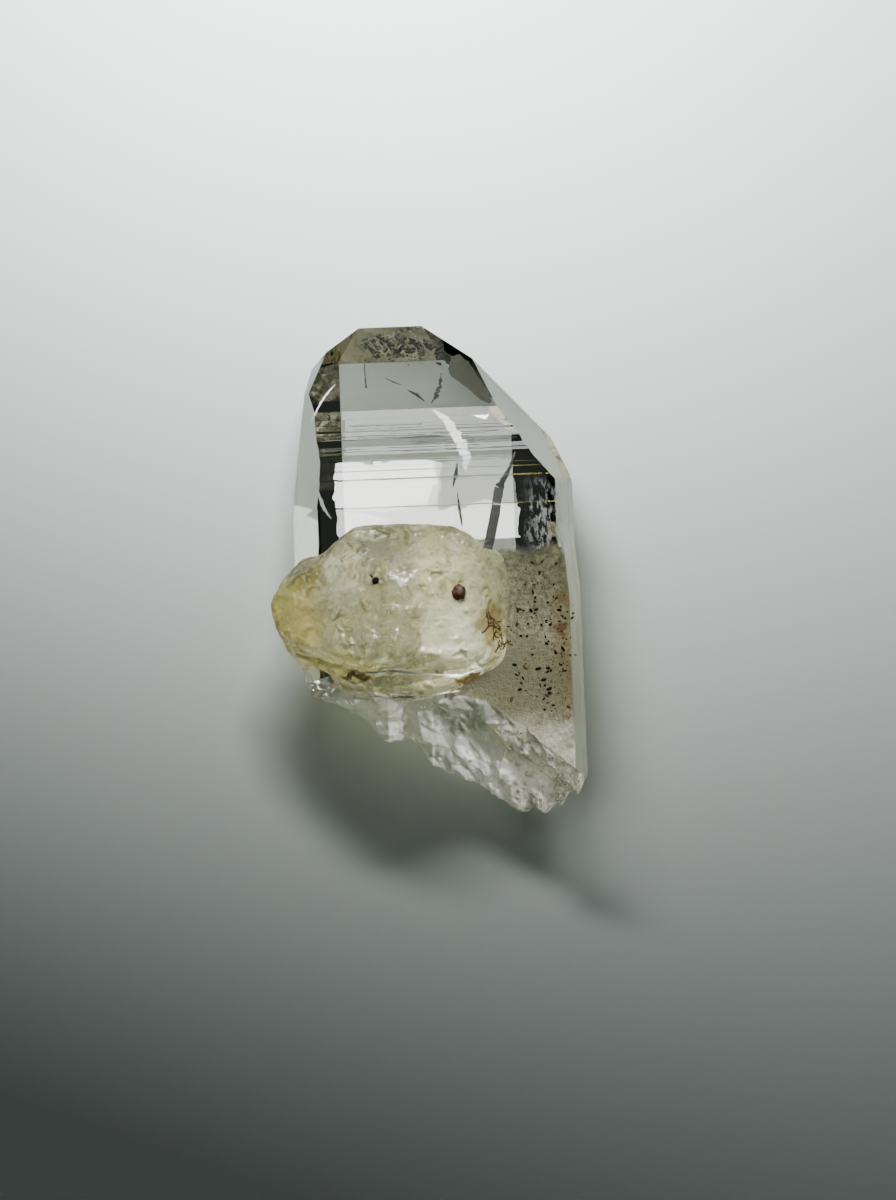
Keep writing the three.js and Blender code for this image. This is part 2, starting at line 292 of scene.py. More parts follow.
def break_y(x, z):
    """How far down the stone reaches at a place across it: rim, lean, deepest hollow and roughness."""
    rise = z - along(RIM_HEIGHT, x)
    lean = along(LEAN_ABOVE if rise > 0 else LEAN_BELOW, x) * (math.hypot(rise, RIM_SOFT) - RIM_SOFT)
    bite, ripple = 0, 0
    for mx, mz, wide, tall, deep in hollows:
        far = math.hypot((x - mx) / wide, (z - mz) / tall)
        if deep * (1 - far ** 2) > bite:
            bite = deep * (1 - far ** 2)
            ripple = RIPPLE * math.sin(15 * far + mx) * far
    rough = 0.2 * noise.noise(Vector((x, z, 3)) * 0.9) + 0.1 * noise.noise(Vector((x, z, 9)) * 2.2)
    rough -= 0.55 * abs(noise.noise(Vector((x + z, 0.6 * (z - x), 2)) * 0.42))
    rough += 0.14 * max(0, min(1, (x - 4.5) / 2)) * noise.noise(Vector((x, z, 5)) * 3.4)
    return along(RIM, x) + lean + bite + ripple + rough + 0.12


def block_below(name, left, right, low, high, step):
    """A closed block under y = break_y(x, z), with z counted from the rim."""
    columns, rows = round((right - left) / step), round((high - low) / step)
    bm = bmesh.new()
    grids = []
    for level in (None, -FAR):
        grid = []
        for i in range(columns + 1):
            x = left + (right - left) * i / columns
            foot = along(RIM_HEIGHT, x)
            zs = [low + (high - low) * j / rows + foot for j in range(rows + 1)]
            grid.append([bm.verts.new((x, break_y(x, z) if level is None else level, z)) for z in zs])
        grids.append(grid)
    top, bottom = grids
    for i in range(columns):
        for j in range(rows):
            bm.faces.new((top[i][j], top[i + 1][j], top[i + 1][j + 1], top[i][j + 1]))
            bm.faces.new((bottom[i][j], bottom[i][j + 1], bottom[i + 1][j + 1], bottom[i + 1][j]))
    ring = [(i, 0) for i in range(columns)] + [(columns, j) for j in range(rows)]
    ring += [(i, rows) for i in range(columns, 0, -1)] + [(0, j) for j in range(rows, 0, -1)]
    for (a, b), (c, d) in zip(ring, ring[1:] + ring[:1]):
        bm.faces.new((top[a][b], bottom[a][b], bottom[c][d], top[c][d]))
    return as_object(name, bm)


combine(stone, block_below("break", left=-12, right=12, low=-8, high=8, step=0.12), "DIFFERENCE")
print("with the broken end:", len(stone.data.polygons), "faces")

# %% [markdown]
# ## The crystal grown across the front
#
# This one is yellowish, frosted and worn, with soft edges, and its tip points to the left. Each direction
# from its middle meets one of its faces first. A hard minimum of those distances would give sharp edges,
# and a power mean gives worn ones. Bumps at several sizes make it frosty: lumps of about 3 mm, pits of
# about 1 mm.

# %% Small crystal and its shelf
WEAR = 24  # the power of the mean: more gives sharper edges
CREST = (-2.2, -2.6, 13.07)
crystal_faces = [  # outward direction, and a point on the face
    ((-0.47, 0.06, 0.88), CREST), ((0.36, -0.04, 0.93), CREST), ((0.02, 0.72, 0.69), (-1.2, 3.15, 9.2)),
    ((-0.6, 0.75, 0.25), (-7.47, 1.31, 8.9)), ((-0.85, 0.35, 0.39), (-10.45, -0.9, 8.3)),
    ((-0.84, -0.42, 0.34), (-10.1, -4.9, 7.6)), ((-0.42, -0.8, 0.43), (-6.6, -6.7, 8.6)),
    ((0.03, -0.87, 0.49), (-1, -7.3, 9.8)), ((0.35, -0.8, 0.48), (2.6, -7.2, 9.4)),
    ((0.8, -0.05, 0.6), (4.9, -2.5, 9.3)), ((0.45, 0.62, 0.64), (3.5, 1.8, 9.3)),
    ((-0.6, 0, -0.8), (-10.3, -2.5, 7.2)), ((-0.3, -0.7, -0.65), (-6.5, -6.5, 6.4)),
    ((0.1, 0.7, -0.7), (-2, 2, 6)), ((0.7, 0, -0.7), (3.5, -3, 6)), ((0, 0, -1), (-3, -3, 4)),
]
shelf_faces = [
    ((0, -0.1, 1), (-3, -7, 10.1)), ((-0.4, -0.1, 0.9), (-6, -6, 9.9)), ((-0.86, -0.1, 0.3), (-9.6, -4.5, 8)),
    ((-0.5, -0.8, 0.3), (-8.7, -6.1, 8)), ((-0.2, -0.93, 0.3), (-5.4, -8, 8.4)),
    ((0.12, -0.93, 0.35), (-0.6, -8.75, 8.6)), ((0.5, -0.8, 0.3), (2.4, -7.9, 8.8)),
    ((0.9, 0.1, 0.3), (4.4, -4, 8.8)), ((0, 1, 0.2), (-3, -1.5, 8)), ((-0.7, 0.7, 0.4), (-8.4, -3.2, 8)),
    ((0, 0, -1), (-3, -4, 4.6)), ((-0.7, -0.1, -0.7), (-8.6, -4.5, 6)), ((0, -0.75, -0.66), (-2, -8, 6.4)),
    ((0.7, 0, -0.7), (3, -4, 6)),
]


def worn_crystal(name, middle, planes, rough):
    """A crystal with soft edges: a ball whose every point is moved out to the faces around it."""
    middle = Vector(middle)
    reaches = []
    for normal, through in planes:
        n = Vector(normal).normalized()
        reaches.append((n, n.dot(Vector(through) - middle)))
    bm = bmesh.new()
    bmesh.ops.create_icosphere(bm, subdivisions=7, radius=1)
    for vert in bm.verts:
        ray = vert.co.normalized()
        total = sum(max(0, n.dot(ray) / reach) ** WEAR for n, reach in reaches)
        at = ray * total ** (-1 / WEAR)
        wave = math.sin(1.9 * at.x + 1.3 * at.y) * math.cos(1.7 * at.y - 1.1 * at.z)
        wave += 0.5 * math.sin(3.7 * at.x - 2.9 * at.y + 1.3)
        pits = noise.fractal(at * 1.1, 0.9, 2.1, 4)
        vert.co = middle + at + ray * rough * (0.6 * wave + 0.9 * pits)
    return as_object(name, bm)


grown = worn_crystal("grown", (-3, -2.8, 8.2), crystal_faces, 0.08)
shelf = worn_crystal("shelf", (-3, -4.2, 7.6), shelf_faces, 0.08)
skins = {}
for skin, source in (("grown", grown), ("shelf", shelf)):
    vertices = [v.co.copy() for v in source.data.vertices]
    skins[skin] = BVHTree.FromPolygons(vertices, [tuple(p.vertices) for p in source.data.polygons])
combine(stone, grown, "UNION")
combine(stone, shelf, "UNION")
print("whole stone:", len(stone.data.polygons), "faces")

# %% [markdown]
# ## Knowing which surface is which
#
# The material needs to know which faces are the frosted crystal and which are the break. A face belongs to
# the small crystal if its middle lies on that crystal's skin, and to the break if it lies on the break's
# height. Both go into face attributes that the material reads.

# %% Surface attributes
ON_SKIN, ON_BREAK = 0.004, 0.03  # mm that a face's middle may be off
mesh = stone.data
grown_flag = mesh.attributes.new("grown", "FLOAT", "FACE")
broken_flag = mesh.attributes.new("broken", "FLOAT", "FACE")
for polygon in mesh.polygons:
    middle = polygon.center
    near = min(skins[skin].find_nearest(middle)[3] for skin in skins)
    grown_flag.data[polygon.index].value = float(near < ON_SKIN)
    on_break = near >= ON_SKIN and middle.y - break_y(middle.x, middle.z) < ON_BREAK
    broken_flag.data[polygon.index].value = float(on_break)
for vertex in mesh.vertices:
    vertex.co = (vertex.co + ORIGIN) * MM
mesh.update()
for flag in (grown_flag, broken_flag):
    print(flag.name, "faces:", sum(1 for face in flag.data if face.value))

# %% [markdown]
# ## Colours and nodes
#
# Colours are read off the real stone as sRGB hex values and turned to linear ones, which is what the shader
# works in. One small function adds a node with its settings and its links. Settings that many nodes share
# have a name of their own.

# %% Colours and nodes
MULTIPLY, TOGETHER, LARGER = {"operation": "MULTIPLY"}, {"operation": "ADD"}, {"operation": "MAXIMUM"}
ABOVE, BELOW = {"operation": "GREATER_THAN"}, {"operation": "LESS_THAN"}
MINUS, TIMES, LENGTH = {"operation": "SUBTRACT"}, {"operation": "SCALE"}, {"operation": "LENGTH"}
SMOOTH = {"interpolation_type": "SMOOTHSTEP"}
COLOURS = {"data_type": "RGBA"}
RIDGED = {"noise_type": "RIDGED_MULTIFRACTAL"}


def linear(hex_colour):
    """An sRGB hex colour as linear RGBA."""
    channels = [int(hex_colour[i:i + 2], 16) / 255 for i in (1, 3, 5)]
    return [c / 12.92 if c <= 0.04045 else ((c + 0.055) / 1.055) ** 2.4 for c in channels] + [1]


def add(tree, kind, settings=None, **links):
    """Adds a node. Its kind is Blender's name for it without ShaderNode, and settings are its properties.
    Links are its sockets in use, by name with _ for a space, or by number as i0 and i1. Each gets a value,
    an output, or a node, which stands for its first output in use."""
    node = tree.nodes.new("ShaderNode" + kind)
    for key, value in (settings or {}).items():
        setattr(node, key, value)
    for key, value in links.items():
        if key[0] == "i" and key[1:].isdigit():
            socket = node.inputs[int(key[1:])]
        else:
            socket = next(s for s in node.inputs if s.enabled and s.name == key.replace("_", " "))
        if isinstance(value, bpy.types.Node):
            value = next(s for s in value.outputs if s.enabled)
        if isinstance(value, bpy.types.NodeSocket):
            tree.links.new(value, socket)
        else:
            socket.default_value = value
    return node


def new_material(name):
    material = bpy.data.materials.new(name)
    material.use_nodes = True
    material.node_tree.nodes.clear()
    return material, material.node_tree


print("rust #57340a is", [round(channel, 3) for channel in linear("#57340a")[:3]], "in linear light")

# %% [markdown]
# ## Quartz
#
# Rock crystal is a clear glassy mineral with an IOR of 1.544. Its natural faces are smooth, so they are
# clear windows and mirrors. A trace of absorption gives the faint smoky olive of the long light paths. The
# small crystal and one patch of the big one's front are frosted: their surface is pitted, so light that
# goes in is spread, and a part comes straight back. Yellow and rust-brown are iron oxide, which sits in the
# pits.
#
# Every pattern is laid out in the stone's own millimetres, so a noise scale is the number of lumps per
# millimetre. Outlines that follow nature are ragged, so the place itself is pushed about by noise before a
# patch or a stain is drawn with it.

# %% Places on the stone
rock_crystal, tree = new_material("rock_crystal")
where = add(tree, "TexCoord").outputs["Object"]
in_mm = add(tree, "VectorMath", TIMES, i0=where, Scale=1 / MM)
x_mm, y_mm, z_mm = add(tree, "SeparateXYZ", Vector=in_mm).outputs


def wandering(amount, scale):
    """The place in mm, pushed about by noise by up to half the amount."""
    push = add(tree, "TexNoise", Vector=in_mm, Scale=scale, Detail=2.0, Roughness=0.6).outputs["Color"]
    centred = add(tree, "VectorMath", MINUS, i0=push, i1=(0.5, 0.5, 0.5))
    shift = add(tree, "VectorMath", TIMES, i0=centred, Scale=amount)
    return add(tree, "VectorMath", TOGETHER, i0=in_mm, i1=shift)


def stain_and_light_ovals(colour, place, stains):
    """Lays soft ovals (x, y, half width, half height, strength, colour) over a colour: stains and painted
    light.
    """
    for x, y, wide, tall, strength, tint in stains:
        away = add(tree, "VectorMath", MINUS, i0=place, i1=(x + ORIGIN.x, y, 0))
        flat = add(tree, "VectorMath", MULTIPLY, i0=away, i1=(1 / wide, 1 / tall, 0))
        far = add(tree, "VectorMath", LENGTH, i0=flat)
        oval = add(tree, "MapRange", SMOOTH, Value=far, From_Min=0.7, From_Max=1.3, To_Min=1, To_Max=0)
        amount = add(tree, "Math", MULTIPLY, i0=oval, i1=strength)
        colour = add(tree, "Mix", COLOURS, Factor=amount, A=colour, B=linear(tint))
    return colour


# %% [markdown]
# ### Clear faces
#
# On its own faces the stone is plain clear quartz, smooth as glass. The back and the sides need no texture
# at all. The front has swells about 3 mm apart and a few thousandths of a millimetre high, as a grown face
# is never quite flat, and they bend its gleam a little.

# %% Clear quartz
QUARTZ_IOR = 1.544
CLEAR = {"Base_Color": linear("#ffffff"), "Roughness": 0.0, "IOR": QUARTZ_IOR, "Transmission_Weight": 1.0}
clear = add(tree, "BsdfPrincipled", **CLEAR)
swells = add(tree, "TexNoise", Vector=in_mm, Scale=0.35)
wavy = add(tree, "Bump", Height=swells, Distance=0.000003, Strength=1.0)
clear_front = add(tree, "BsdfPrincipled", Normal=wavy, **CLEAR)
print("clear faces: IOR", QUARTZ_IOR, "and swells", round(1 / 0.35, 1), "mm apart")

# %% [markdown]
# ### The small crystal
#
# Its skin is crinkled and frosted. The crinkles mirror the lamp in bright glints, and more glints are
# painted into its colour as pale streaks, with painted shade in the dark creases. A share of the light
# comes back from the milky body behind the skin, and the rest goes through. It is olive-yellow from iron:
# strongest at the tip and along its lower edge. Its left half is painted darker as shade, and its
# right-hand facet paler as painted light.
#
# A fade turns a pattern or a place into a smooth step: it leaves one value at a start and reaches another
# at an end. Each surface has a table of its own fades: name, pattern, start, end, and the two values.

# %% Patterns of the small crystal
place = wandering(2.4, 0.7)
lump_x = add(tree, "SeparateXYZ", Vector=place).outputs["X"]
clouds = add(tree, "TexNoise", Vector=in_mm, Scale=0.6, Detail=3.0, Roughness=0.6)
crinkle_place = add(tree, "Mapping", Vector=place, Scale=(0.55, 1, 1), Rotation=(0, 0, -0.35))
crinkles = add(tree, "TexNoise", RIDGED, Vector=crinkle_place, Scale=0.7, Detail=5.0, Roughness=0.65)
streaks = add(tree, "TexNoise", Vector=crinkle_place, Scale=1.5, Detail=5.0, Roughness=0.72)
fades = {}
for name, pattern, start, end, low, high in [
    ("pale clouds", clouds, 0.36, 0.62, 0, 1), ("left half", lump_x, -1.4, 0.2, 1, 0),
    ("painted crease shade", streaks, 0.38, 0.5, 1, 0), ("painted glints", streaks, 0.56, 0.63, 0, 1),
    ("relief", clouds, 0.42, 0.6, 0.8, 0.25), ("clearness", clouds, 0.3, 0.7, 0.45, 0.7),
    ("roughness", clouds, 0.35, 0.6, 0.12, 0.28),
]:
    fades[name] = add(tree, "MapRange", SMOOTH, Value=pattern, From_Min=start, From_Max=end,
                      To_Min=low, To_Max=high)
print("small crystal: crinkles about", round(1 / 0.7, 1), "mm apart")

# %% Frosted yellowish quartz
olive = add(tree, "Mix", COLOURS, Factor=fades["pale clouds"], A=linear("#d2ca96"), B=linear("#f2edc4"))
# Painted shade over the left half and in the creases, and painted glints along the pale streaks.
for name, strength, tint in [
    ("left half", 0.5, "#a19a76"), ("painted crease shade", 0.55, "#7d7650"), ("painted glints", 0.8, "#fffbe6"),
]:
    amount = add(tree, "Math", MULTIPLY, i0=fades[name], i1=strength)
    olive = add(tree, "Mix", COLOURS, Factor=amount, A=olive, B=linear(tint))
# Iron stains in yellow and brown, and two painted marks: the near-white oval on the right-hand facet is
# painted light, and the grey-olive one at x -3.5, y 1.7 on the left facet is painted shade.
olive = stain_and_light_ovals(olive, place, [
    (1.8, -4.6, 1.9, 2.5, 0.85, "#fffbd8"), (-3.5, 1.7, 1.2, 1.1, 0.6, "#8b8468"),
    (-9.6, -3.0, 2.2, 3.4, 0.75, "#ddd07a"), (-7.6, -5.6, 1.6, 0.9, 0.5, "#fff6c0"),
    (-8.3, 0.2, 1.5, 1.1, 0.7, "#857a3c"), (-6.4, -6.5, 3.2, 1.1, 0.75, "#f6e08e"),
    (-5.3, -7.2, 1.5, 0.28, 0.95, "#503205"), (2.7, -7.7, 1.2, 0.28, 0.95, "#7a5208"),
    (4.3, -3.9, 0.9, 1.2, 0.6, "#a8872c"),
])
lump_bump = add(tree, "Bump", Height=crinkles, Distance=0.0017, Strength=fades["relief"])
clearer_left = add(tree, "Math", MULTIPLY, i0=fades["left half"], i1=0.18)
clearness = add(tree, "Math", TOGETHER, i0=fades["clearness"], i1=clearer_left)
skin = add(tree, "BsdfPrincipled", Base_Color=olive, Roughness=fades["roughness"], IOR=QUARTZ_IOR,
           Transmission_Weight=clearness, Normal=lump_bump)
glow = add(tree, "BsdfTranslucent", Color=olive, Normal=lump_bump)
MILKY = 0.35  # share of the light that the milky body spreads
lump = add(tree, "MixShader", Fac=MILKY, i1=skin, i2=glow)
print("small crystal:", round(100 * MILKY), "percent milky")

# %% [markdown]
# ### The frosted patch
#
# The lower right of the big crystal's front is matt and beige-grey, with rust along its right edge. Its
# edges are ragged, and above it the frost breaks up into white flecks on the clear face. Real frost is too
# fine to show at this size, so its flakes are drawn a third of a millimetre apart, and the whitest of them
# are painted sparkles.

# %% Patterns of the frosted patch
ragged = wandering(2.0, 0.9)
patch_x, patch_y, _ = add(tree, "SeparateXYZ", Vector=ragged).outputs
flakes = add(tree, "TexNoise", Vector=in_mm, Scale=3.0, Detail=4.0, Roughness=0.75)
dirt = add(tree, "TexNoise", Vector=in_mm, Scale=0.8, Detail=4.0, Roughness=0.7)
wisp_place = add(tree, "Mapping", Vector=in_mm, Scale=(2.4, 0.9, 1), Rotation=(0, 0, 0.6))
wisps = add(tree, "TexNoise", Vector=wisp_place, Scale=1.6, Detail=5.0, Roughness=0.75)
fades = {}
for name, pattern, start, end, low, high in [
    ("flecks", wisps, 0.47, 0.57, 0, 1), ("flecks right", patch_x, 6.6, 8.2, 0, 1),
    ("flecks top", patch_y, 4.0, 6.4, 1, 0), ("patch right", patch_x, 4.8, 5.6, 0, 1),
    ("patch top", patch_y, 0.5, 1.7, 1, 0), ("all across", patch_y, -1.4, -0.6, 1, 0),
    ("pale flakes", flakes, 0.38, 0.6, 0, 1), ("painted flake sparkles", flakes, 0.64, 0.7, 0, 1),
    ("dirt", dirt, 0.52, 0.62, 0, 1), ("white above", patch_y, 0.9, 1.6, 0, 1),
    ("relief", patch_y, -8, -4, 0.9, 0.45),
]:
    fades[name] = add(tree, "MapRange", SMOOTH, Value=pattern, From_Min=start, From_Max=end,
                      To_Min=low, To_Max=high)
flecks = fades["flecks"]
for share in (fades["flecks right"], fades["flecks top"], 0.85):
    flecks = add(tree, "Math", MULTIPLY, i0=flecks, i1=share)
frost = add(tree, "Math", MULTIPLY, i0=fades["patch right"], i1=fades["patch top"])
for more in (flecks, fades["all across"]):
    frost = add(tree, "Math", LARGER, i0=frost, i1=more)
print("frost ends near y = 1 mm, flecks near y = 5.5 mm")

# %% Frosted quartz with dirt and rust
beige = add(tree, "Mix", COLOURS, Factor=fades["pale flakes"], A=linear("#69664c"), B=linear("#b2ad8a"))
faint_dirt = add(tree, "Math", MULTIPLY, i0=fades["dirt"], i1=0.22)
# The whitest flakes are painted sparkles.
for amount, tint in [
    (fades["painted flake sparkles"], "#f4f4ea"), (faint_dirt, "#57533a"), (fades["white above"], "#e9ecec"),
]:
    beige = add(tree, "Mix", COLOURS, Factor=amount, A=beige, B=linear(tint))
beige = stain_and_light_ovals(beige, ragged, [
    (2.6, -6.6, 3.4, 1.6, 0.8, "#7d7f76"), (9.2, -5.0, 0.7, 4.6, 0.5, "#857440"),
    (9.1, -4.4, 0.32, 0.7, 0.95, "#57340a"), (9.0, -6.3, 0.3, 0.45, 0.9, "#6e5412"),
    (9.2, -2.2, 0.3, 0.6, 0.8, "#806526"), (6.2, -7.8, 3.6, 3.2, 0.75, "#78735a"),
])
patch_bump = add(tree, "Bump", Height=flakes, Distance=0.0009, Strength=fades["relief"])
patch_skin = add(tree, "BsdfPrincipled", Base_Color=beige, Roughness=0.4, IOR=QUARTZ_IOR,
                 Transmission_Weight=0.62, Normal=patch_bump)
haze = add(tree, "BsdfTranslucent", Color=beige, Normal=patch_bump)
patch = add(tree, "MixShader", Fac=0.3, i1=patch_skin, i2=haze)
frosted = add(tree, "MixShader", Fac=frost, i1=clear_front, i2=patch)
print("frosted patch: flakes about", round(1 / 3.0, 2), "mm apart")

# %% [markdown]
# ### The break
#
# A fresh break is as glossy as the faces, and its hollows bend the light so strongly that it shows as white
# and grey shells: one hollow is painted grey as shade, and one white as light. Towards the right it's
# pebbly, with a beige tone between painted white sparkles. The pebbles are ridged noise in the bump, and
# softer noise of 1.3 lumps per millimetre in the colour.

# %% Broken quartz
pebbles = add(tree, "TexNoise", RIDGED, Vector=wandering(1.5, 0.8), Scale=0.5, Detail=6.0, Roughness=0.68)
gravel = add(tree, "TexNoise", Vector=in_mm, Scale=1.3, Detail=5.0, Roughness=0.72)
fades = {}
for name, pattern, start, end, low, high in [
    ("relief", x_mm, 2.5, 6.5, 0.55, 0.9), ("pebbly", x_mm, 3.5, 6, 0, 1),
    ("beige gravel", gravel, 0.36, 0.5, 1, 0), ("painted gravel sparkles", gravel, 0.58, 0.64, 0, 1),
    ("clearness", x_mm, 3, 6, 0.62, 0.5), ("milky", x_mm, 2, 6, 0.12, 0.25),
]:
    fades[name] = add(tree, "MapRange", SMOOTH, Value=pattern, From_Min=start, From_Max=end,
                      To_Min=low, To_Max=high)
# Painted shade: the grey oval on the upper hollow. Painted light: the white oval on the lower one.
shells = stain_and_light_ovals(linear("#f2f3ec"), ragged, [
    (2.3, -9.9, 2.4, 1.3, 0.8, "#8d9288"), (3.0, -13.2, 2.6, 0.9, 0.5, "#ffffff"),
])
# Painted sparkles: the white spots on the pebbly part.
for share, tint in [
    (0.75, "#d0ccba"), (fades["beige gravel"], "#a5a08c"), (fades["painted gravel sparkles"], "#ffffff"),
]:
    amount = add(tree, "Math", MULTIPLY, i0=fades["pebbly"], i1=share)
    shells = add(tree, "Mix", COLOURS, Factor=amount, A=shells, B=linear(tint))
break_bump = add(tree, "Bump", Height=pebbles, Distance=0.0016, Strength=fades["relief"])
break_skin = add(tree, "BsdfPrincipled", Base_Color=shells, Roughness=0.06, IOR=QUARTZ_IOR,
                 Transmission_Weight=fades["clearness"], Normal=break_bump)
shine = add(tree, "BsdfTranslucent", Color=shells, Normal=break_bump)
broken = add(tree, "MixShader", Fac=fades["milky"], i1=break_skin, i2=shine)
print("break: gravel about", round(1 / 1.3, 1), "mm apart")

# %% [markdown]
# ### One stone, five surfaces
#
# Masks choose the shader for each place. Nearly everywhere a mask is exactly 0 or 1, so the renderer works
# out only the shader that it needs. That keeps the clear faces quick, for light is mirrored many times
# inside the stone before it comes out. Two shaders mix only where the frost thins out, and where the patch
# turns pebbly towards the break. The volume is faintly smoky: it takes away a little blue along each
# millimetre that light travels in the stone.

# %% Put the surfaces together
is_grown = add(tree, "Attribute", {"attribute_name": "grown"}).outputs["Fac"]
is_broken = add(tree, "Attribute", {"attribute_name": "broken"}).outputs["Fac"]
is_front = add(tree, "Math", ABOVE, i0=z_mm, i1=8.5)
in_zone = add(tree, "Math", ABOVE, i0=x_mm, i1=1.0)  # the patch: right of 1 mm, below 7.2 mm, on the front
for limit in (add(tree, "Math", BELOW, i0=y_mm, i1=7.2), add(tree, "Math", ABOVE, i0=z_mm, i1=8.4)):
    in_zone = add(tree, "Math", MULTIPLY, i0=in_zone, i1=limit)
foot = add(tree, "MapRange", SMOOTH, Value=patch_y, From_Min=-12.4, From_Max=-9.6, To_Min=0.5, To_Max=0)
pebbly_foot = add(tree, "Math", MULTIPLY, i0=in_zone, i1=foot)
is_broken = add(tree, "Math", LARGER, i0=is_broken, i1=pebbly_foot)
surface = clear
for mask, shader in [(is_front, clear_front), (in_zone, frosted), (is_broken, broken), (is_grown, lump)]:
    surface = add(tree, "MixShader", Fac=mask, i1=surface, i2=shader)
smoke = add(tree, "VolumeAbsorption", Color=(0.8, 0.8, 0.7, 1), Density=60.0)
add(tree, "OutputMaterial", Surface=surface, Volume=smoke)
mesh.materials.clear()
mesh.materials.append(rock_crystal)
print("rock crystal has", len(tree.nodes), "nodes")

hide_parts("quartz_point")
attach(stone, "root")

# %% [markdown]
# ## Veils and cracks
#
# Clear quartz is seldom free of flaws. A healed crack is a thin sheet of tiny voids that spreads all light,
# so it shines white from one side and is dark from another. An open crack mirrors the dark side of the
# room, and that dark is painted into its colour. Beside the point one facet mirrors the dark inside of the
# stone, and a dark olive sheet under it paints that as shade.

# %% Materials for flaws


def simple_material(name, colour, roughness, **more):
    """A plain finish whose brightness varies a little over tenths of a millimetre."""
    material, tree = new_material(name)
    where = add(tree, "TexCoord").outputs["Object"]
    speckle = add(tree, "TexNoise", Vector=where, Scale=4000.0, Detail=3.0)
    value = add(tree, "MapRange", Value=speckle, To_Min=0.6, To_Max=1.3)
    shade = add(tree, "HueSaturation", Color=linear(colour), Value=value)
    shader = add(tree, "BsdfPrincipled", Base_Color=shade, Roughness=roughness, **more)
    add(tree, "OutputMaterial", Surface=shader)
    return material


# The same white paints the highlights of the bright rims.
white_veil_and_highlight = simple_material("white_veil_and_highlight", "#ffffff", 0.6)  # tiny voids: white and matt
# Painted reflection: an open crack looks black because it mirrors the dark room, and that black is painted
# in. The smudges in the point's end face use it too, partly as painted shade.
painted_dark_flaw = simple_material("painted_dark_flaw", "#3a3d38", 0.4)  # an open crack: nearly black
# The same grey draws the fine growth lines as painted shade of their tiny steps.
grey_flaw_and_step_shade = simple_material("grey_flaw_and_step_shade", "#50524d", 0.45)  # a thin crack, partly seen through: grey
# Painted shade: a dark olive sheet where a facet beside the point mirrors the dark inside of the stone.
painted_shade_facet = simple_material("painted_shade_facet", "#434531", 0.5)  # a dark facet: olive, as thick quartz is
print("flaw materials:", white_veil_and_highlight.name, painted_dark_flaw.name, grey_flaw_and_step_shade.name, painted_shade_facet.name)

# %% [markdown]
# Each flaw is a closed ribbon of mesh a few hundredths of a millimetre thick with a ragged edge, drawn by
# its middle line with a half width at each point. It could be painted into the colour instead, but then it
# would have no edge to catch the light. A ray from above finds the stone's surface under every corner of
# the ribbon, so it follows the ledges and never hangs in the air.

# %% Ribbons that follow the surface
corners = [v.co.copy() for v in mesh.vertices]
surface_tree = BVHTree.FromPolygons(corners, [tuple(p.vertices) for p in mesh.polygons])
CAST_FROM = 30  # mm up, well above the stone
STEPS = 8  # corners of a ribbon from one point of its line to the next


def height_at(x, y):
    """Height of the stone's top surface in mm, seen from above."""
    hit = surface_tree.ray_cast((Vector((x, y, CAST_FROM)) + ORIGIN) * MM, Vector((0, 0, -1)))
    return hit[0].z / MM if hit[0] else None


def ribbon(bm, line, above, thick, ragged, rng):
    """Adds a closed thin ribbon along (x, y, half width) points, at a height above the surface under it."""
    rings = []
    for k in range(STEPS * (len(line) - 1) + 1):
        i = min(k // STEPS, len(line) - 2)
        part = k / STEPS - i
        x, y, half = [a + (b - a) * part for a, b in zip(line[i], line[i + 1])]
        middle = height_at(x, y)
        if middle is None:
            continue
        ahead = Vector((line[i + 1][0] - line[i][0], line[i + 1][1] - line[i][1], 0)).normalized()
        ring = []
        for side, up in ((1, 0), (0, 1), (-1, 0), (0, -1)):
            wide = side * half * (1 + ragged * rng.uniform(-1, 1))
            px, py = x - ahead.y * wide, y + ahead.x * wide
            ring.append(Vector((px, py, (height_at(px, py) or middle) + above + up * thick / 2)) + ORIGIN)
        rings.append([bm.verts.new(p * MM) for p in ring])
    for a, b in zip(rings, rings[1:]):
        for i in range(4):
            j = (i + 1) % 4
            bm.faces.new((a[i], a[j], b[j], b[i]))
    if rings:
        bm.faces.new(rings[0])
        bm.faces.new(rings[-1])


def slivers(name, lines, material, above, thick=0.03, ragged=0.25, seed=1):
    """One piece from a ribbon for each line."""
    rng = random.Random(seed)
    bm = bmesh.new()
    for line in lines:
        ribbon(bm, line, above, thick, ragged, rng)
    piece = as_object(name, bm)
    piece.data.materials.append(material)
    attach(piece, "root")


print("the crest stands", round(height_at(CREST[0], CREST[1]), 2), "mm high")

# %% [markdown]
# The white veil runs down from the needles near the point. Two dark cracks continue it, and a flat grey bar
# leans away at the right. The dark sheet beside the point is painted shade for the facet above it.

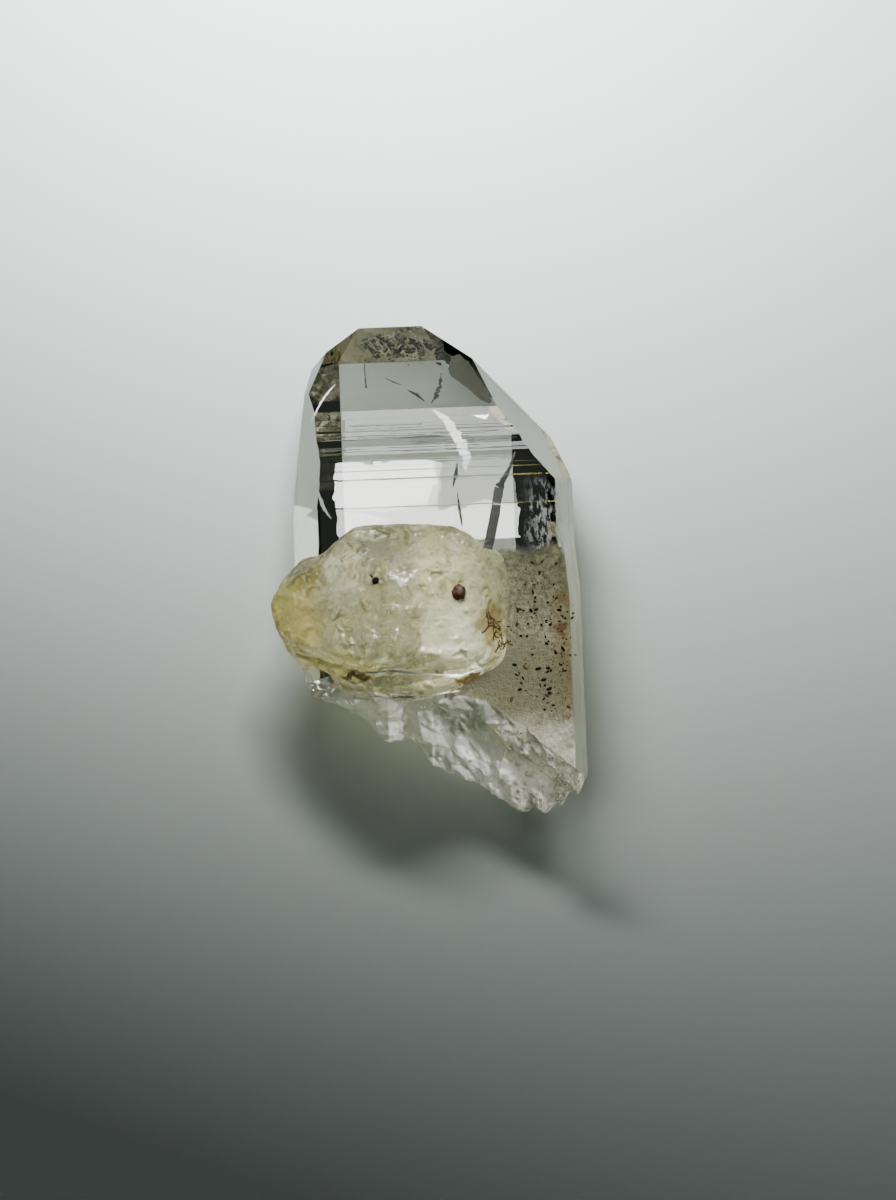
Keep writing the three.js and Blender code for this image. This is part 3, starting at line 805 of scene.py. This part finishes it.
# %% The flaws, each with its depth under the surface in mm, raggedness and line
flaws = [
    ("veil_white", white_veil_and_highlight, 0, 0.5, [
        (0.75, 11.05, 0.04), (1.5, 10.5, 0.18), (2.1, 9.7, 0.28), (2.6, 8.7, 0.36), (2.95, 7.7, 0.3),
        (2.9, 6.6, 0.05)]),
    ("crack_upper", painted_dark_flaw, 0, 0.4, [(2.35, 7.35, 0.03), (2.2, 6.5, 0.13), (1.95, 5.6, 0.02)]),
    ("crack_lower", painted_dark_flaw, 0, 0.5, [
        (2.25, 5.3, 0.02), (2.35, 4.3, 0.09), (2.45, 3.3, 0.07), (2.5, 2.9, 0.02)]),
    ("needle_left", painted_dark_flaw, 0.05, 0.3, [(-0.95, 12.5, 0.03), (-0.3, 12.15, 0.11), (0.25, 11.65, 0.03)]),
    ("needle_right", painted_dark_flaw, 0.05, 0.8, [
        (1.45, 13.6, 0.03), (1.35, 12.7, 0.13), (1.05, 12.0, 0.15), (0.7, 11.5, 0.03)]),
    ("needle_top_left", painted_dark_flaw, 0.05, 0.3, [(-2.4, 13.4, 0.03), (-1.9, 13.1, 0.05), (-1.3, 12.85, 0.02)]),
    ("line_left", painted_dark_flaw, 0.2, 0.3, [(-3.85, 14.7, 0.03), (-3.8, 13.4, 0.05), (-3.75, 12.7, 0.07)]),
    ("chip_left", white_veil_and_highlight, 0.2, 0.4, [
        (-7.35, 6.9, 0.02), (-7.3, 5.6, 0.08), (-6.95, 4.5, 0.12), (-6.5, 3.8, 0.02)]),
    # Painted shade: the dark sheet under the facet beside the point.
    ("painted_shade_sheet", painted_shade_facet, 0.1, 0.03, [
        (2.5, 14.8, 0.3), (2.7, 13.9, 0.8), (3.6, 12.85, 0.55), (4.4, 11.85, 0.4), (4.8, 11.35, 0.1)]),
    ("bar_grey", grey_flaw_and_step_shade, 0, 0.05, [(5.15, 5.5, 0.33), (4.75, 3.5, 0.33), (4.2, 1.3, 0.33)]),
    ("bar_tip", painted_dark_flaw, 0, 0.3, [(6.35, 7.9, 0.05), (5.8, 6.6, 0.12), (5.15, 5.5, 0.3)]),
]
for number, (name, material, depth, ragged, line) in enumerate(flaws):
    slivers(name, [line], material, 0.01 - depth, ragged=ragged, seed=number + 3)
print(len(flaws), "flaws, up to", max(depth for _, _, depth, _, _ in flaws), "mm deep")

# %% [markdown]
# Fine growth lines cross the terraces. They are far too thin to model as ledges, at hundredths of a
# millimetre, so each is a grey hair with its own start and length, painted shade for its tiny step. Three
# pale rims are painted highlights where edges of the stone catch the light.

# %% Hair lines and bright rims
rng = random.Random(5)
hairs = []
for number in range(34):
    y, left, length = rng.gauss(9.15, 0.75), rng.uniform(-8, 4), rng.uniform(1, 7)
    if 7.7 < y < 10.5:
        line = [(left + length * k / 3, y + rng.uniform(-0.02, 0.02), rng.uniform(0.008, 0.03))
                for k in range(4)]
        hairs.append([p for p in line if p[0] < 7])
# Painted shade: grey hairs for the tiny steps of the growth lines.
slivers("hair_lines", [line for line in hairs if len(line) > 1], grey_flaw_and_step_shade, 0.005, thick=0.02)
# Painted highlights: pale rims along edges that catch the light.
slivers("bright_rims", [
    [(-5.2, -6.9, 0.03), (-2.9, -6.8, 0.07), (0, -7.15, 0.04), (1.9, -7.35, 0.08), (3.4, -6.9, 0.03)],
    [(-5.6, -8.65, 0.03), (-3.4, -8.7, 0.07), (-0.2, -8.6, 0.05), (1.9, -8.35, 0.03)],
    [(-5.9, 13.1, 0.02), (-6.7, 12.2, 0.07), (-7.6, 10.6, 0.03)],
], white_veil_and_highlight, 0.01, thick=0.05, ragged=0.6)

# %% [markdown]
# ## Grains on the surface
#
# A round brown bead of iron oxide, a black grain and a scatter of dark specks sit on the frosted parts.
# Each is dropped on the surface by a ray from above, so it touches what carries it, and is sunk a third.

# %% Grains


def grain(bm, x, y, radius, stretch, turn, seed, sink):
    """Adds one pebbly grain to the mesh, resting on the stone, or inside it where sink is over 1."""
    z = height_at(x, y)
    if z is None:
        return
    made = bmesh.ops.create_icosphere(bm, subdivisions=4 if radius > 0.2 else 2, radius=1)["verts"]
    middle = Vector((x, y, z + radius * stretch[2] * (1 - 2 * sink))) + ORIGIN
    for vert in made:
        bumpy = 1 + 0.25 * noise.noise(vert.co * 1.7 + Vector((seed, 0, 0)))
        p = Vector([c * radius * s * bumpy for c, s in zip(vert.co, stretch)])
        p.rotate(Euler((0, 0, turn)))
        vert.co = (middle + p) * MM


def grains(name, spots, material, sink=0.35):
    """One piece from a grain for each (x, y, radius, stretch, turn)."""
    bm = bmesh.new()
    for number, (x, y, radius, stretch, turn) in enumerate(spots):
        grain(bm, x, y, radius, stretch, turn, number, sink)
    piece = as_object(name, bm)
    piece.data.materials.append(material)
    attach(piece, "root")
    print(name, len(spots), "grains")


# Iron oxide is earthy, so it barely shines: dark brown in a solid bead, rust-brown where it is thin.
# The black mineral is so dull that only its shape tells it from a hole.
iron_bead = simple_material("iron_oxide_bead", "#2c1805", 0.5, Specular_IOR_Level=0.2)
black_grain = simple_material("black_mineral", "#050403", 0.8, Specular_IOR_Level=0.05)
rust = simple_material("rust", "#3a2808", 0.8, Specular_IOR_Level=0.2)
grains("bead", [(2.12, -1.6, 0.5, (1, 1, 0.9), 0)], iron_bead)
grains("black_grain", [
    (-3.55, -0.6, 0.26, (1, 0.9, 0.8), 0), (-3.82, -0.3, 0.1, (2.4, 0.6, 0.5), -0.8),
], black_grain)

# %% [markdown]
# The specks gather round six places on the frosted patch. Most are tiny and a few are large, as a random
# number to the third power gives.

# %% Specks
rng = random.Random(12)
clusters = [(6.9, -3.4), (9.0, -4.2), (8.7, -6.2), (7.4, -1.2), (8.4, -8.5), (6.8, -7.4)]
specks, rusty = [], []
for number in range(290):
    middle_x, middle_y = rng.choice(clusters)
    x, y = rng.gauss(middle_x, 0.7), rng.gauss(middle_y, 1.1)
    if 4.9 < x < 10 and -11 < y < 1.2:
        size = 0.025 + 0.085 * rng.random() ** 3
        (specks if rng.random() < 0.6 else rusty).append(
            (x, y, size, (rng.uniform(0.8, 2.4), 1, 0.6), rng.uniform(0, 3.1)))
grains("dark_specks", specks, black_grain)
grains("rust_specks", rusty, rust)
print("scattered on the frosted patch:", len(specks) + len(rusty))

# %% [markdown]
# The point's end face is grey with smudges, which are dark bits inside the stone and also darken the face
# as painted shade. They are made as grains and sunk under the face, away from its edges. Rust threads, a
# fraction of a millimetre long, lie in a band at the right end of the small crystal.

# %% Smudges and rust threads
smudges = []
clusters = [  # x, y and how far they spread in x
    (1.0, 15.9, 0.5), (0.4, 15.2, 0.8), (1.9, 14.9, 0.6), (-2.3, 15.9, 0.5), (-0.9, 15.9, 0.6),
    (-3.1, 15.5, 0.7), (-1.6, 15.2, 0.9),
]
for number in range(420):
    middle_x, middle_y, wide = rng.choice(clusters)
    x, y, size = rng.gauss(middle_x, wide), rng.gauss(middle_y, 0.3), 0.03 + 0.13 * rng.random() ** 3
    if all(height_at(x + dx, y + dy) for dx, dy in ((0.5, 0.5), (-0.5, 0.5), (0.5, 0), (0, 0.5))):
        smudges.append((x, y, size, (rng.uniform(1, 2.5), 1, 0.4), rng.uniform(0, 3.1)))
# Partly painted shade: the smudges darken the point's end face.
grains("tip_smudges", smudges, painted_dark_flaw, sink=3.5)
threads = []
for number in range(26):
    down = rng.random()
    x, y = 3.8 + 1.3 * down + rng.gauss(0, 0.22), -2.8 - 2.6 * down + rng.gauss(0, 0.25)
    turn, line = rng.gauss(-1.1, 0.8), []
    for step in range(5):
        line.append((x, y, rng.uniform(0.015, 0.06)))
        turn += rng.uniform(-0.7, 0.7)
        x, y = x + 0.17 * math.cos(turn), y + 0.17 * math.sin(turn)
    threads.append(line)
slivers("rust_threads", threads, rust, 0.01, thick=0.04, ragged=0.5)

# %% [markdown]
# ## Floor
#
# The stone lies on pale paper. Paper is matt, and a low light brings out its grain. The real grain is a
# tenth of a millimetre, and it is drawn at one millimetre, so that it shows.

# %% Floor
bm = bmesh.new()
bmesh.ops.create_grid(bm, x_segments=1, y_segments=1, size=0.6)
floor = as_object("floor", bm)
floor.location.z = -0.00002
paper, tree = new_material("pale_paper")
where = add(tree, "TexCoord").outputs["Object"]
fibres = add(tree, "TexNoise", Vector=where, Scale=900.0, Detail=3.0)
grainy = add(tree, "Bump", Height=fibres, Distance=0.0001, Strength=0.15)
shader = add(tree, "BsdfPrincipled", Base_Color=linear("#e0ebe6"), Roughness=0.9, Normal=grainy)
add(tree, "OutputMaterial", Surface=shader)
floor.data.materials.append(paper)
print("floor", [round(side, 2) for side in floor.dimensions[:2]], "m")

# %% [markdown]
# ## Light
#
# One soft light stands low beyond the point: it makes the paper bright there and dim at the bottom left,
# and leaves the sides dark, which is what blackens the crystal's mirror faces.

# %% Window


def soft_light(name, at, size, power, target):
    """A rectangular lamp at a place, turned to its target."""
    data = bpy.data.lights.new(name, "AREA")
    data.shape = "RECTANGLE"
    data.size, data.size_y = size[0] * MM, size[1] * MM
    data.energy = power
    light = bpy.data.objects.new(name, data)
    light.location = Vector(at) * MM
    light.rotation_euler = (Vector(target) - Vector(at)).to_track_quat("-Z", "Y").to_euler()
    bpy.context.collection.objects.link(light)
    return light


window = soft_light("window", (-5, 57, 60), (34, 38), 0.29, target=(9.0, 92.0, 0))
print("window:", round(window.data.energy, 2), "W")

# %% [markdown]
# Four narrow lamps give the frosted parts their glints. Light linking keeps them off the paper, which would
# otherwise lose its shadow. A clear stone also gathers light and throws it on the paper under and behind
# itself. A path tracer finds few of those paths, so two more narrow lamps light the paper alone where that
# light falls: under the left edge and in the shadow's right corner.

# %% Narrow lamps
BEAM = math.radians(2)
LAMP_FAR = 200  # mm from the place that the lamp lights
lit_pieces = bpy.data.collections.new("lit_pieces")
for piece in bpy.context.collection.objects:
    if piece.type == "MESH" and piece != floor:
        lit_pieces.objects.link(piece)
for name, at, toward, size, power in [  # at: the place lit, toward: from there to the lamp, power in watts
    ("lamp_crystal", (-3.3, -3.1, 12), (0.05, 0.64, 0.77), (15, 8), 0.0013),
    ("lamp_break", (5, -12, 8), (0.62, 0.2, 0.76), (12, 10), 0.0012),
    ("lamp_pebbles", (7.9, -14.8, 6), (0.45, -0.25, 0.86), (4, 3.5), 0.00009),
    ("lamp_patch", (7.6, -5, 12), (0.05, 0.64, 0.77), (3.5, 8), 0.0001),
]:
    lamp = soft_light(name, Vector(at) + LAMP_FAR * Vector(toward), size, power, target=at)
    lamp.data.spread = BEAM
    lamp.light_linking.receiver_collection = lit_pieces

lit_paper = bpy.data.collections.new("lit_paper")
lit_paper.objects.link(floor)
for name, at, height, size, power in [  # at: the place lit on the paper
    ("caustic_left", (-4.6, 4), 60, (3.4, 9.5), 0.00016),
    ("caustic_right", (10.8, -19.8), 160, (4.5, 6.5), 0.000015),
]:
    lamp = soft_light(name, (*at, height), size, power, target=(*at, 0))
    lamp.data.spread = BEAM
    lamp.light_linking.receiver_collection = lit_paper
    lamp.light_linking.blocker_collection = lit_paper

# %% [markdown]
# The level front is a mirror, and what it mirrors is straight above. So small panels hang there, each
# placed so that the camera sees it in one part of the front. How far out it hangs follows from the mirror
# rule: the angle in equals the angle out. A face that tilts by an angle turns what it mirrors by twice that
# angle.

# %% Gleam on the front
FRONT = 9.2  # mm, height of the level part of the front
PANEL_UP = 500  # mm


def gleam(name, left, right, low, high, brightness, tilt=(0, 0)):
    """A far panel that a face mirrors into the camera over a given part of the front. Tilt is the face's, in
    degrees, at its low and high ends."""
    camera_x, camera_y, camera_z = CAMERA_AT
    rise = PANEL_UP - FRONT
    far = rise / (camera_z - FRONT)
    xs = [x + ORIGIN.x + (x + ORIGIN.x - camera_x) * far for x in (left, right)]
    ys = [y + (y - camera_y) * far + rise * math.tan(math.radians(2 * t)) for y, t in zip((low, high), tilt)]
    wide, tall = xs[1] - xs[0], ys[1] - ys[0]
    middle = ((xs[0] + xs[1]) / 2, (ys[0] + ys[1]) / 2)
    power = brightness * math.pi * wide * tall * MM ** 2  # a panel sends out pi times its brightness
    soft_light(name, (*middle, PANEL_UP), (wide, tall), power, target=(*middle, 0))
    print(name, "is", round(wide), "x", round(tall), "mm")


gleam("gleam_left", -6.0, 0.6, 4.45, 7.6, 42)
gleam("gleam_fade", 0.6, 0.95, 4.45, 7.6, 20)
gleam("gleam_low", -6.0, 6.25, -1, 4.45, 24)
gleam("gleam_lowest", -6.0, 6.25, -1, 3.3, 20)
gleam("gleam_right", 0.95, 6.25, 4.45, 7.6, 6)
gleam("gleam_terraces", -5.8, 9, 8, 10.5, 9.5, tilt=(9, 15.5))

# %% [markdown]
# The rest of the room is dim and a little green-blue. It is all that the clear sides mirror, so they stay
# dark.

# %% Dim room
world = bpy.data.worlds.new("dim_room")
world.use_nodes = True
background = world.node_tree.nodes["Background"]
background.inputs["Color"].default_value = linear("#aab6b2")
background.inputs["Strength"].default_value = 0.06
bpy.context.scene.world = world
print("room light", round(background.inputs["Strength"].default_value, 2))
